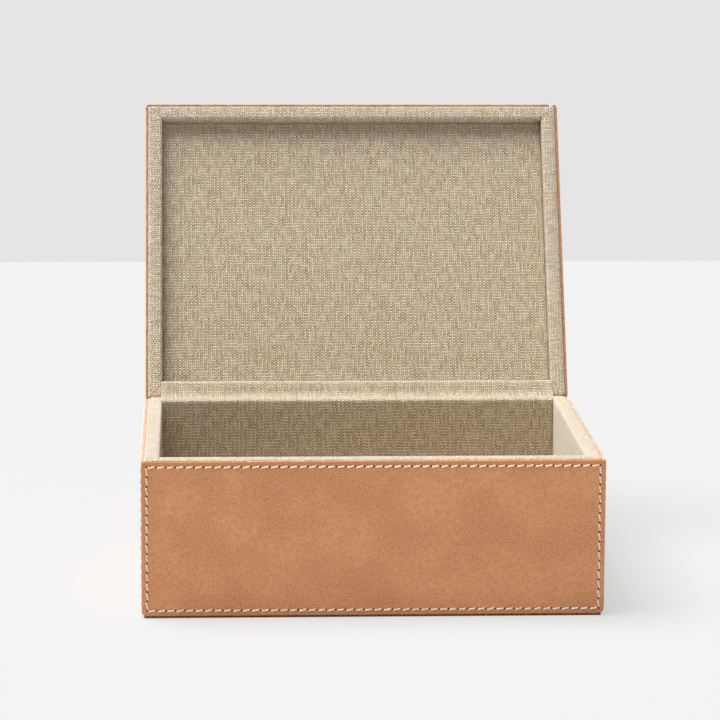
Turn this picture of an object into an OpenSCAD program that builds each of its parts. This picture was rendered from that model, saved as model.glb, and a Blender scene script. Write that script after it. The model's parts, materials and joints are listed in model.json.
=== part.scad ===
// Hinged keepsake box for papers: board walls wrapped in linen, faced with
// stitched leather panels, with a shallow lid that leans back on its cloth hinge.
// X runs along the width, Y from front to back, Z up.
// The origin is the centre of the underside. The lid is drawn open.

/* [Box] */
// Outside width over the leather
box_w = 254; // [160:1:360]
// Outside depth over the leather
box_d = 190.5; // [130:0.5:280]
// Height of the base, from the table to its linen rim
base_h = 88.5; // [40:0.5:160]
// Height of the lid, from its linen rim to the top of its leather
lid_h = 13; // [10:0.5:40]

/* [Boards] */
// Thickness of the wall boards and lid rails
board_t = 7.7; // [5:0.1:14]
// Thickness of the bottom board
bottom_t = 4; // [2:0.5:8]
// Thickness of the lid's top board
lid_board_t = 3.3; // [2:0.1:5]

/* [Linen] */
// Thickness of the linen wraps with their backing
linen_t = 0.6; // [0.5:0.1:1]
// Radius of the wrapped rim edges
rim_r = 1.8; // [1.6:0.1:2.4]
// Thickness of the linen-covered lining cards
lining_t = 0.8; // [0.5:0.1:2]
// Gap between a lining card and the walls round it
lining_gap = 0.2; // [0.1:0.1:0.6]
// Thickness of the linen-covered sheet under the base
cover_t = 1.4; // [1:0.1:3]

/* [Leather] */
// Thickness of the leather panels
leather_t = 1.3; // [1:0.1:2.5]
// How far the leather stops short of the linen rims
leather_inset = 1; // [0.5:0.1:3]
// Radius of the outer edges of the leather
edge_r = 0.5; // [0.2:0.1:0.9]
// Radius of the two back corners in plan
corner_r = 3; // [2.6:0.1:8]
// Radius of the lower corners of the front panel
foot_r = 3; // [1:0.5:8]
// How far the side panels run on along the back, past the round corner
wrap_end = 0.5; // [0.2:0.1:6]
// Radius of the lid's two front corners in plan
lid_front_r = 1.8; // [0.6:0.1:3]
// Open length between the lid's front strip and its side strips
lid_corner_gap = 2.4; // [0.5:0.1:5]
// How far the lid's right strip runs on along the front
lid_wrap = 2.4; // [2:0.1:6]

/* [Hinge] */
// How far the lid is opened from shut
lid_open = 117.5; // [95:0.5:135]
// Depth of the hinge line below the rim of the base
pivot_drop = 1; // [0.8:0.1:2]
// Gap between the lid and the base when shut, and at the hinge pieces
body_gap = 0.3; // [0.2:0.05:0.5]
// Height of the leather hinge that is glued to the base
hinge_tab = 1.5; // [1:0.5:10]
// Radius of the linen where it turns up from the base to the lid
sweep_r = 7; // [3:0.5:10]
// How far the linen hinge reaches past the opening at each end
hinge_over = 0.9; // [0.2:0.1:1.2]

/* [Hidden] */
$fn = 48;

// How far a cutting shape reaches past what it cuts, and the least inner corner radius
over = 1;
least_r = 0.2;

half_w = box_w / 2;
half_d = box_d / 2;

// Distances in from the outside of the leather
core_inset = leather_t + linen_t;
board_inset = core_inset + board_t;
open_inset = board_inset + linen_t;
open_half = half_w - open_inset;
open_back = half_d - open_inset;
wrap_len = corner_r + wrap_end;

// Heights in the base
leather_top = base_h - leather_inset;
floor_z = cover_t + bottom_t;

// Heights in the lid, measured from its rim
rail_h = lid_h - leather_t - lid_board_t;
recess_h = rail_h - lining_t;

// Hinge line, and where the two rim planes cross when the lid is open
pivot_z = base_h - pivot_drop;
rim_off = pivot_drop + body_gap;
cross_s = (pivot_drop - rim_off * cos(lid_open)) / sin(lid_open);
cross_y = half_d - cross_s * cos(lid_open) + rim_off * sin(lid_open);
fold = 180 - lid_open;
rim_start = open_back + rim_r;

// The sweep of the linen hinge leaves at least this flat length on either rim
least_flat = 0.2;
base_room = cross_y - rim_start - least_flat;
lid_room = open_inset - rim_r - cross_s - least_flat;
sweep = min(sweep_r, min(base_room, lid_room) / tan(fold / 2));
sweep_tangent = sweep * tan(fold / 2);
sweep_start = to_micron(cross_y - sweep_tangent);
lid_flat = to_micron(open_inset - rim_r - cross_s - sweep_tangent);
hinge_linen_t = linen_t - body_gap;

// The leather hinge is thinner where it folds, to stay clear of the linen above it
hinge_leather_t = leather_t - body_gap;
pivot_to_sweep = norm([half_d - sweep_start, pivot_z - base_h - sweep]);
fold_t = min(hinge_leather_t, pivot_to_sweep - sweep - hinge_linen_t - body_gap);

linen_color = [0.80, 0.73, 0.62];
rim_color = [0.88, 0.81, 0.71];
leather_color = [0.74, 0.51, 0.36];
edge_color = [0.85, 0.66, 0.50];
board_color = [0.62, 0.52, 0.41];

// Rounds a length, so that stretches drawn one after another meet exactly
function to_micron(length) = round(length * 1000) / 1000;

// Length of the box along one side
function side_len(side) = side == "left" || side == "right" ? box_d : box_w;

// Puts a wall drawn along X, with its depth running in from y = 0, on its side
module on_side(side) {
    if (side == "front") translate([0, -half_d, 0]) children();
    if (side == "back") translate([0, half_d, 0]) rotate([0, 0, 180]) children();
    if (side == "left") translate([-half_w, 0, 0]) rotate([0, 0, -90]) children();
    if (side == "right") translate([half_w, 0, 0]) rotate([0, 0, 90]) children();
}

// Moves the lid from its own frame, rim down at z = 0, to its open place
module lid_frame() {
    translate([0, half_d, pivot_z]) rotate([-lid_open, 0, 0]) translate([0, -half_d, rim_off]) children();
}

// The same move for an outline in the Y-Z plane
module lid_frame_outline() {
    translate([half_d, pivot_z]) rotate(-lid_open) translate([-half_d, rim_off]) children();
}

// Plan of the box at a distance in from the outside, square in front and round behind
module plan(inset, front_r = 0) {
    w = box_w - 2 * inset;
    d = box_d - 2 * inset;
    r = max(corner_r - inset, least_r);
    translate([-w / 2 + front_r, -d / 2]) square([w - 2 * front_r, d / 2]);
    translate([-w / 2, -d / 2 + front_r]) square([w, d - front_r - r]);
    translate([-w / 2 + r, 0]) square([w - 2 * r, d / 2]);
    for (s = [-1, 1]) {
        translate([s * (w / 2 - r), d / 2 - r]) circle(r);
        if (front_r > 0) translate([s * (w / 2 - front_r), -d / 2 + front_r]) circle(front_r);
    }
}

module slab(inset, z0, z1) {
    translate([0, 0, z0]) linear_extrude(z1 - z0) plan(inset);
}

// Band from z0 to z1, centred on the origin, with all four corners round
module band(w, z0, z1, r) {
    translate([-w / 2 + r, z0]) square([w - 2 * r, z1 - z0]);
    translate([-w / 2, z0 + r]) square([w, z1 - z0 - 2 * r]);
    for (s = [-1, 1]) {
        translate([s * (w / 2 - r), z0 + r]) circle(r);
        translate([s * (w / 2 - r), z1 - r]) circle(r);
    }
}

// Outline of a wall's cross-section: the crest faces up, top below the rim plane
module crest(y0, t, top, h) {
    r = rim_r - top;
    translate([y0, -h]) square([t, h - top - r]);
    translate([y0 + r, -h]) square([t - 2 * r, h - top]);
    translate([y0 + r, -top - r]) circle(r);
    translate([y0 + t - r, -top - r]) circle(r);
}

module board_outline(h) {
    crest(core_inset, board_t, linen_t, h);
}

// Linen over a board: down outside to h_out, over the rim and down inside to h_in
module linen_outline(h_out, h_in) {
    difference() {
        crest(leather_t, board_t + 2 * linen_t, 0, h_out);
        board_outline(h_out + over);
        translate([core_inset, -h_out - over]) square([board_t + 2 * linen_t, h_out - h_in + over]);
    }
}

// A length of cross-section along one side, mitred at both ends, within the plan at inset
module wall(side, inset, low, high) {
    l = side_len(side);
    depth = open_inset + over;
    intersection() {
        on_side(side) intersection() {
            rotate([90, 0, 90]) linear_extrude(l, center = true) children();
            translate([0, 0, low]) linear_extrude(high - low)
                polygon([[-l / 2, 0], [l / 2, 0], [l / 2 - depth, depth], [-l / 2 + depth, depth]]);
        }
        slab(inset, low, high);
    }
}

// Part of a ring between two radii and two angles less than 180 degrees apart
module ring_sector(r_in, r_out, from, to) {
    far = 2 * r_out;
    intersection() {
        difference() {
            circle(r_out);
            if (r_in > 0) circle(r_in);
        }
        rotate(from) translate([-far, 0]) square([2 * far, far]);
        rotate(to) translate([-far, -far]) square([2 * far, far]);
    }
}

// Room for the linen hinge in the wrap of a back wall, with the rim plane at z = 0
module linen_seat(h_in) {
    reach = open_half + hinge_over + body_gap;
    start = open_back + rim_r - body_gap;
    translate([-reach, start, -linen_t]) cube([2 * reach, half_d - start, linen_t + over]);
    translate([-open_half, open_back - over, -h_in]) cube([2 * open_half, rim_r + over, h_in + over]);
}

// Leather round the box between z0 and z1, with its outer edges eased
module leather_shell(z0, z1, front_r) {
    intersection() {
        translate([0, 0, z0]) linear_extrude(z1 - z0) plan(0, front_r);
        rotate([90, 0, 0]) linear_extrude(box_d + 2 * over, center = true) band(box_w, z0, z1, edge_r);
        rotate([90, 0, 90]) linear_extrude(box_w + 2 * over, center = true) band(box_d, z0, z1, edge_r);
    }
}

// A stretch of the front edge of the plan, as deep as the leather is thick
module front_edge(x0, x1) {
    translate([x0, -half_d]) square([x1 - x0, leather_t]);
}

// One side of the plan with its turn round the back corner. s is -1 for the left side
module side_edge(s, butt) {
    x0 = s * (half_w - wrap_len / 2) - wrap_len / 2;
    translate([x0, -half_d + butt]) square([wrap_len, box_d - butt]);
}

// What one leather panel covers of the base's plan
module base_edge(side) {
    seam = half_w - wrap_len;
    if (side == "front") front_edge(-half_w, half_w);
    if (side == "left") side_edge(-1, leather_t);
    if (side == "right") side_edge(1, leather_t);
    if (side == "back") translate([-seam, 0]) square([2 * seam, half_d]);
}

// What one leather strip covers of the lid's plan. The right one turns the front corner
module lid_edge(side) {
    if (side == "front") front_edge(-half_w, half_w - lid_wrap - lid_corner_gap);
    if (side == "left") side_edge(-1, leather_t + lid_corner_gap);
    if (side == "right") {
        side_edge(1, 0);
        front_edge(half_w - lid_wrap, half_w);
    }
    if (side == "back") base_edge("back");
}

// Plan of a ring of leather, cut down to the children
module leather_plan(front_r) {
    difference() {
        intersection() {
            plan(0, front_r);
            children();
        }
        plan(leather_t);
    }
}

module base_board(side) {
    h = base_h - cover_t;
    color(board_color) wall(side, core_inset, cover_t, base_h) translate([0, base_h]) board_outline(h);
}

module base_bottom_board() {
    color(board_color) translate([-half_w + board_inset, -half_d + board_inset, cover_t])
        cube([box_w - 2 * board_inset, box_d - 2 * board_inset, bottom_t]);
}

module base_underside_cover() {
    color(linen_color) slab(leather_t, 0, cover_t);
}

module base_floor_lining() {
    inset = open_inset + lining_gap;
    color(linen_color) translate([-half_w + inset, -half_d + inset, floor_z])
        cube([box_w - 2 * inset, box_d - 2 * inset, lining_t]);
}

module base_linen(side) {
    color(rim_color) difference() {
        wall(side, leather_t, cover_t, base_h) translate([0, base_h])
            linen_outline(base_h - cover_t, base_h - floor_z);
        if (side == "back") translate([0, 0, base_h]) linen_seat(base_h - floor_z);
    }
}

// The back panel stops square below the leather hinge
module base_panel(side) {
    top = side == "back" ? pivot_z - hinge_tab : leather_top;
    intersection() {
        leather_shell(cover_t, side == "back" ? base_h : leather_top, edge_r);
        translate([0, 0, cover_t]) linear_extrude(top - cover_t) leather_plan(edge_r) base_edge(side);
    }
}

module base_leather(side) {
    color(leather_color) if (side == "front") {
        intersection() {
            base_panel(side);
            rotate([90, 0, 0]) linear_extrude(box_d + 2 * over, center = true) front_outline();
        }
    } else {
        base_panel(side);
    }
}

// Front panel seen from the front, with its lower corners round
module front_outline() {
    translate([-half_w, cover_t + foot_r]) square([box_w, leather_top - cover_t - foot_r]);
    translate([-half_w + foot_r, cover_t]) square([box_w - 2 * foot_r, foot_r + over]);
    for (s = [-1, 1]) translate([s * (half_w - foot_r), cover_t + foot_r]) circle(foot_r);
}

// The bend of this strip is a part of a cylinder about the hinge line
module leather_hinge() {
    reach = half_w - wrap_len;
    t = hinge_leather_t;
    color(edge_color) rotate([90, 0, 90]) linear_extrude(2 * reach, center = true) {
        translate([half_d - t, pivot_z - hinge_tab]) square([t, hinge_tab]);
        translate([half_d, pivot_z]) ring_sector(0, fold_t, fold, 180);
        lid_frame_outline() translate([half_d - t, -rim_off]) square([t, rim_off + leather_inset - body_gap]);
    }
}

// The linen hinge from the crest of the base's rim, through its sweep, to the crest of the lid's rim.
// The children are drawn at the far end, with X along the lid's rim and Y out of it
module hinge_run() {
    translate([rim_start, base_h - hinge_linen_t]) square([sweep_start - rim_start, hinge_linen_t]);
    translate([sweep_start, base_h + sweep]) {
        ring_sector(sweep, sweep + hinge_linen_t, -90, fold - 90);
        rotate(fold) translate([0, -sweep]) {
            translate([0, -hinge_linen_t]) square([lid_flat, hinge_linen_t]);
            children();
        }
    }
}

// One sheet that lines the back wall, turns over its rim and sweeps up onto the lid's back rail
module linen_hinge() {
    t = hinge_linen_t;
    leg_z = floor_z + lining_t;
    color(rim_color) {
        rotate([90, 0, 90]) linear_extrude(2 * (open_half - body_gap), center = true) {
            translate([open_back, leg_z]) square([t, base_h - rim_r - leg_z]);
            translate([rim_start, base_h - rim_r]) ring_sector(rim_r - t, rim_r, 90, 180);
            hinge_run() {
                translate([lid_flat, -rim_r]) ring_sector(rim_r - t, rim_r, 0, 90);
                translate([lid_flat + rim_r - t, body_gap - recess_h]) square([t, recess_h - body_gap - rim_r]);
            }
        }
        rotate([90, 0, 90]) linear_extrude(2 * (open_half + hinge_over), center = true) hinge_run();
    }
}

module lid_top_board() {
    color(board_color) lid_frame() slab(core_inset, rail_h, rail_h + lid_board_t);
}

module lid_rail(side) {
    color(board_color) lid_frame() wall(side, core_inset, 0, rail_h) mirror([0, 1]) board_outline(rail_h);
}

module lid_linen(side) {
    color(rim_color) lid_frame() difference() {
        wall(side, leather_t, 0, lid_h - leather_t) mirror([0, 1])
            linen_outline(lid_h - leather_t, rail_h);
        if (side == "back") mirror([0, 0, 1]) linen_seat(rail_h);
    }
}

module lid_lining() {
    inset = open_inset + lining_gap;
    color(linen_color) lid_frame() translate([-half_w + inset, -half_d + inset, recess_h])
        cube([box_w - 2 * inset, box_d - 2 * inset, lining_t]);
}

module lid_leather(side) {
    color(leather_color) lid_frame() intersection() {
        leather_shell(leather_inset, lid_h, lid_front_r);
        linear_extrude(lid_h - leather_t) leather_plan(lid_front_r) lid_edge(side);
    }
}

module lid_top_leather() {
    color(leather_color) lid_frame() intersection() {
        leather_shell(leather_inset, lid_h, lid_front_r);
        translate([0, 0, lid_h - leather_t]) linear_extrude(leather_t)
            square([box_w, box_d], center = true);
    }
}

base_board("front");  // base_front_board
base_board("back");  // base_back_board
base_board("left");  // base_left_board
base_board("right");  // base_right_board
base_bottom_board();
base_underside_cover();
base_floor_lining();
base_linen("front");  // base_front_linen
base_linen("back");  // base_back_linen
base_linen("left");  // base_left_linen
base_linen("right");  // base_right_linen
base_leather("front");  // base_front_leather
base_leather("back");  // base_back_leather
base_leather("left");  // base_left_leather
base_leather("right");  // base_right_leather
leather_hinge();
linen_hinge();
lid_top_board();
lid_rail("front");  // lid_front_rail
lid_rail("back");  // lid_back_rail
lid_rail("left");  // lid_left_rail
lid_rail("right");  // lid_right_rail
lid_linen("front");  // lid_front_linen
lid_linen("back");  // lid_back_linen
lid_linen("left");  // lid_left_linen
lid_linen("right");  // lid_right_linen
lid_lining();
lid_leather("front");  // lid_front_leather
lid_leather("back");  // lid_back_leather
lid_leather("left");  // lid_left_leather
lid_leather("right");  // lid_right_leather
lid_top_leather();
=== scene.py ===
"""Looks of the hinged stationery box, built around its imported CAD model.

Everything here is drawn in millimetres and turned into metres when a mesh is made.
X runs along the width, Y from front to back, Z up, as in the CAD model.
Pieces of the lid are drawn with the lid shut and then turned open about the hinge.
"""

import json
import math
import random

import bpy
from mathutils import Matrix, Vector, noise
from mathutils.geometry import delaunay_2d_cdt


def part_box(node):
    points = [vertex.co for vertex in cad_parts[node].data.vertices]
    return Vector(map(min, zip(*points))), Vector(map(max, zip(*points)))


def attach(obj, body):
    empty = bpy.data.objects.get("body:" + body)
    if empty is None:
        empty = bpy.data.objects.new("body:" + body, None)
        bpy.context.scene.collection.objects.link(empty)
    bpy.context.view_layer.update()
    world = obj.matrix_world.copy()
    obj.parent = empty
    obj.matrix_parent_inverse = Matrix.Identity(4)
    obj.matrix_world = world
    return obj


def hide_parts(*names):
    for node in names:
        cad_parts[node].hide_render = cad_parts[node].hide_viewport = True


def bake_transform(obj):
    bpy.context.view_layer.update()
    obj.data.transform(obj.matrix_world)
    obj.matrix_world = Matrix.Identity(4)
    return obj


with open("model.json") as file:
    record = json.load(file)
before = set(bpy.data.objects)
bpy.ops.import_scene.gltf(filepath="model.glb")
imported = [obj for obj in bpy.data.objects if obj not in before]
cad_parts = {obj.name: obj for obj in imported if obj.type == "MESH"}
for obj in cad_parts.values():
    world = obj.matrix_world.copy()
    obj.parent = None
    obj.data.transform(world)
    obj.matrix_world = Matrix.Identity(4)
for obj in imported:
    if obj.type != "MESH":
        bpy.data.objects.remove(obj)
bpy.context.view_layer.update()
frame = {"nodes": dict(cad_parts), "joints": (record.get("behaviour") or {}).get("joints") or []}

MM = 0.001

# Hinge, and the turn that opens the shut lid
hinge = frame["joints"][0]
OPEN = math.radians(hinge["range_deg"][1])
PIVOT = Vector(hinge["pos_m"]) / MM
TURN = Matrix.Translation(PIVOT) @ Matrix.Rotation(-OPEN, 4, "X") @ Matrix.Translation(-PIVOT)


def span(node):
    """Lowest and highest corner of a CAD node where it rests, in millimetres."""
    low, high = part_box(node)
    return low / MM, high / MM


def shut_span(node):
    """Lowest and highest corner of a CAD node of the lid, with the lid shut."""
    back = TURN.inverted()
    points = [back @ (v.co / MM) for v in frame["nodes"][node].data.vertices]
    low = Vector([min(p[i] for p in points) for i in range(3)])
    high = Vector([max(p[i] for p in points) for i in range(3)])
    return low, high


# Sizes taken from the frame
HALF_W = span("base_right_leather")[1].x
HALF_D = -span("base_front_leather")[0].y
COVER_T = span("base_underside_cover")[1].z
BASE_TOP = span("base_left_linen")[1].z
PANEL_TOP = span("base_left_leather")[1].z
FLOOR_LOW, FLOOR_TOP = (corner.z for corner in span("base_floor_lining"))
FLOOR_HALF_W = span("base_floor_lining")[1].x
FLOOR_HALF_D = span("base_floor_lining")[1].y
LEATHER_T = HALF_W - span("base_right_linen")[1].x
LINEN_T = span("base_right_linen")[1].x - span("base_right_board")[1].x
OPEN_INSET = HALF_W - span("base_right_linen")[0].x
SEAM_X = span("base_back_leather")[1].x
HINGE_HALF = span("linen_hinge")[1].x
LID_RIM = shut_span("lid_left_linen")[0].z
LID_LINEN_TOP = shut_span("lid_left_linen")[1].z
LID_TOP = shut_span("lid_top_leather")[1].z
STRIP_LOW, STRIP_TOP = (corner.z for corner in shut_span("lid_left_leather"))
CEILING, CEILING_TOP = (corner.z for corner in shut_span("lid_lining"))
LID_STRIP_END = shut_span("lid_front_leather")[1].x
LID_LEFT_START = shut_span("lid_left_leather")[0].y

# Radii of the CAD model
RIM_R = 1.8
CORNER_R = 3.0
FOOT_R = 3.0
EDGE_R = 0.5
LID_FRONT_R = 1.8
SWEEP_R = 7.0

# The linen hinge: its thickness, where its sweep starts, and its length along the lid's rim
HINGE_T = 0.3
RIM_START = HALF_D - OPEN_INSET + RIM_R
DROP = BASE_TOP - PIVOT.z
RISE = LID_RIM - PIVOT.z
CROSS_S = (DROP - RISE * math.cos(OPEN)) / math.sin(OPEN)
CROSS_Y = HALF_D - CROSS_S * math.cos(OPEN) + RISE * math.sin(OPEN)
FOLD = math.pi - OPEN
SWEEP_TANGENT = SWEEP_R * math.tan(FOLD / 2)
SWEEP_START = CROSS_Y - SWEEP_TANGENT
LID_FLAT = OPEN_INSET - RIM_R - CROSS_S - SWEEP_TANGENT

# Stitching: distance from the panel's edge, length from hole to hole, and how far a stitch leans
STITCH_INSET = 3.0
STITCH_PITCH = 5.2
STITCH_LEAN = 0.42
HOLE_R = 0.54

SIDES = ("front", "back", "left", "right")


def srgb(red, green, blue):
    """A colour written as 0 to 255 in sRGB, as Blender's linear RGBA."""
    values = [c / 255 for c in (red, green, blue)]
    return [c / 12.92 if c <= 0.04045 else ((c + 0.055) / 1.055) ** 2.4 for c in values] + [1.0]


def ripple(x, y, seed):
    """Smooth noise from -1 to 1 with bumps about one unit apart."""
    return noise.noise(Vector((x, y, 7.31 * seed + 0.5)))


def smooth_step(low, high, value):
    """Goes smoothly from 0 to 1 as the value goes from low to high."""
    t = min(1.0, max(0.0, (value - low) / (high - low)))
    return t * t * (3 - 2 * t)


class Track:
    """A line of straights and arcs in a plane. A move is a length, or (radius, turn) for an arc.

    The material lies to the right of the heading, so a turn below zero goes round it.
    """

    def __init__(self, start, heading, moves):
        self.parts = []
        self.length = 0.0
        x, y = start
        angle = math.radians(heading)
        for move in moves:
            radius, turn = move if isinstance(move, tuple) else (None, 0.0)
            turn = math.radians(turn)
            run = abs(turn) * radius if radius else move
            self.parts.append((self.length, run, x, y, angle, radius, turn))
            x, y, angle = self._step(x, y, angle, radius, turn, run, run)
            self.length += run

    @staticmethod
    def _step(x, y, angle, radius, turn, run, s):
        if not radius:
            return x + s * math.cos(angle), y + s * math.sin(angle), angle
        side = math.copysign(1.0, turn)
        centre_x = x - side * radius * math.sin(angle)
        centre_y = y + side * radius * math.cos(angle)
        angle += turn * s / run
        reach = side * radius
        return centre_x + reach * math.sin(angle), centre_y - reach * math.cos(angle), angle

    def at(self, s, depth=0.0):
        """The point at arc length s, that deep in the material."""
        part = [p for p in self.parts if p[0] <= s + 1e-9][-1] if s > 0 else self.parts[0]
        x, y, angle = self._step(*part[2:], part[1], s - part[0])
        return x + depth * math.sin(angle), y - depth * math.cos(angle)

    def stops(self, straight, arc_steps):
        """Arc lengths to draw: straights in stretches of that length, arcs in that many steps."""
        found = [0.0]
        for start, run, *_, radius, _ in self.parts:
            count = arc_steps if radius else max(1, round(run / straight))
            found += [start + run * (i + 1) / count for i in range(count)]
        return found

    def bends(self, steps):
        """Arc lengths at the ends of each arc and between them."""
        found = []
        for start, run, *_, radius, _ in self.parts:
            if radius:
                found += [start + run * i / steps for i in range(steps + 1)]
        return found


class Shape:
    """A mesh in the making: points in millimetres, each with its place on the flat material."""

    def __init__(self):
        self.points = []
        self.places = []
        self.faces = []
        self.slots = []
        self.marks = []

    def point(self, where, place=(0.0, 0.0), mark=0.0):
        self.points.append(Vector(where))
        self.places.append(place)
        self.marks.append(mark)
        return len(self.points) - 1

    def face(self, corners, slot=0):
        self.faces.append(corners)
        self.slots.append(slot)

    def bridge(self, loop_a, loop_b, slot=0, closed=True):
        """Quads between two rows of points. Row b lies to the left of row a, seen from outside."""
        count = len(loop_a)
        for i in range(count if closed else count - 1):
            j = (i + 1) % count
            self.face((loop_a[i], loop_a[j], loop_b[j], loop_b[i]), slot)

    def tube(self, rings):
        """Joins rings of points into a tube that is closed at both ends."""
        for ring_a, ring_b in zip(rings, rings[1:]):
            self.bridge(ring_a, ring_b)
        self.face(tuple(reversed(rings[0])))
        self.face(tuple(rings[-1]))

    def shell(self, rings):
        """Joins the rings of a sheet. Each is its outer row, then its inner row backwards."""
        for ring_a, ring_b in zip(rings, rings[1:]):
            self.bridge(ring_a, ring_b)
        for ring, order in ((rings[0], 1), (rings[-1], -1)):
            for i in range(len(ring) // 2 - 1):
                self.face((ring[i], ring[i + 1], ring[-i - 2], ring[-i - 1])[::order])

    def build(self, name, materials, turned=None, flip=False):
        """Makes the Blender object, in metres. turned is a matrix, and flip turns every face over."""
        mesh = bpy.data.meshes.new(name)
        points = [turned @ p if turned else p for p in self.points]
        faces = [tuple(reversed(f)) for f in self.faces] if flip else self.faces
        mesh.from_pydata([p * MM for p in points], [], faces)
        mesh.polygons.foreach_set("use_smooth", [True] * len(faces))
        mesh.polygons.foreach_set("material_index", self.slots)
        layer = mesh.uv_layers.new(name="Flat")
        corners = [0] * len(mesh.loops)
        mesh.loops.foreach_get("vertex_index", corners)
        layer.data.foreach_set("uv", [c for v in corners for c in self.places[v]])
        mark = mesh.attributes.new("mark", "FLOAT", "POINT")
        mark.data.foreach_set("value", self.marks)
        for material in materials:
            mesh.materials.append(material)
        mesh.validate()
        made = bpy.data.objects.new(name, mesh)
        bpy.context.scene.collection.objects.link(made)
        return made


class Paint:
    """A material's nodes, with short calls for the ones used here."""

    def __init__(self, name):
        self.material = bpy.data.materials.new(name)
        self.material.use_nodes = True
        self.tree = self.material.node_tree
        self.shader = self.tree.nodes["Principled BSDF"]

    def node(self, kind, *values, **settings):
        """A node whose first inputs take the values, which are numbers, vectors or other outputs."""
        made = self.tree.nodes.new(kind)
        for key, value in settings.items():
            setattr(made, key, value)
        for socket, value in zip([s for s in made.inputs if s.enabled], values):
            self.put(socket, value)
        return made

    def put(self, socket, value):
        if value is None:
            return
        if isinstance(value, bpy.types.NodeSocket):
            self.tree.links.new(value, socket)
        else:
            socket.default_value = value

    def math(self, operation, *values):
        return self.node("ShaderNodeMath", *values, operation=operation).outputs[0]

    def times(self, value, factor):
        return self.math("MULTIPLY", value, factor)

    def ramp(self, value, low, high, to_low=0.0, to_high=1.0):
        """Goes smoothly from to_low to to_high as the value goes from low to high."""
        made = self.node(
            "ShaderNodeMapRange", value, low, high, to_low, to_high, interpolation_type="SMOOTHSTEP"
        )
        return made.outputs[0]

    def mix(self, factor, colour_a, colour_b):
        return self.node("ShaderNodeMix", factor, colour_a, colour_b, data_type="RGBA").outputs[2]

    def vector(self, x, y, z=0.0):
        return self.node("ShaderNodeCombineXYZ", x, y, z).outputs[0]

    def noise(self, vector, scale, detail=2.0, roughness=0.5):
        made = self.node("ShaderNodeTexNoise")
        self.put(made.inputs["Vector"], vector)
        made.inputs["Scale"].default_value = scale
        made.inputs["Detail"].default_value = detail
        made.inputs["Roughness"].default_value = roughness
        return made.outputs[0]

    def flat(self):
        """The two outputs of the place on the flat material, in millimetres, and both as a vector."""
        place = self.node("ShaderNodeUVMap", uv_map="Flat").outputs[0]
        split = self.node("ShaderNodeSeparateXYZ", place)
        return split.outputs[0], split.outputs[1], place

    def mark(self):
        return self.node("ShaderNodeAttribute", attribute_name="mark").outputs["Fac"]

    def bump(self, height, distance, strength=1.0, under=None):
        """Relief as high as the distance, in millimetres, on top of the normal under it."""
        made = self.node("ShaderNodeBump")
        made.inputs["Strength"].default_value = strength
        made.inputs["Distance"].default_value = distance * MM
        self.put(made.inputs["Height"], height)
        self.put(made.inputs["Normal"], under)
        return made.outputs[0]

    def finish(self, colour, roughness, normal=None, **fixed):
        """Feeds the shader. The fixed values are uniform and set on its own sockets."""
        self.put(self.shader.inputs["Base Color"], colour)
        self.put(self.shader.inputs["Roughness"], roughness)
        self.put(self.shader.inputs["Normal"], normal)
        for key, value in fixed.items():
            label = key.replace("_", " ").title().replace("Ior", "IOR")
            self.shader.inputs[label].default_value = value
        return self.material


# Threads of the linen: from one to the next, how far they sway, how fast they swell along their
# length, and how far apart neighbours read that noise
WARP_PITCH = 1.19
WEFT_PITCH = 0.86
SWAY_U = 1.2
SWAY_V = 1.1
SLUB_RATE = 0.16
ROW_SHIFT = 3.7


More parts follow.
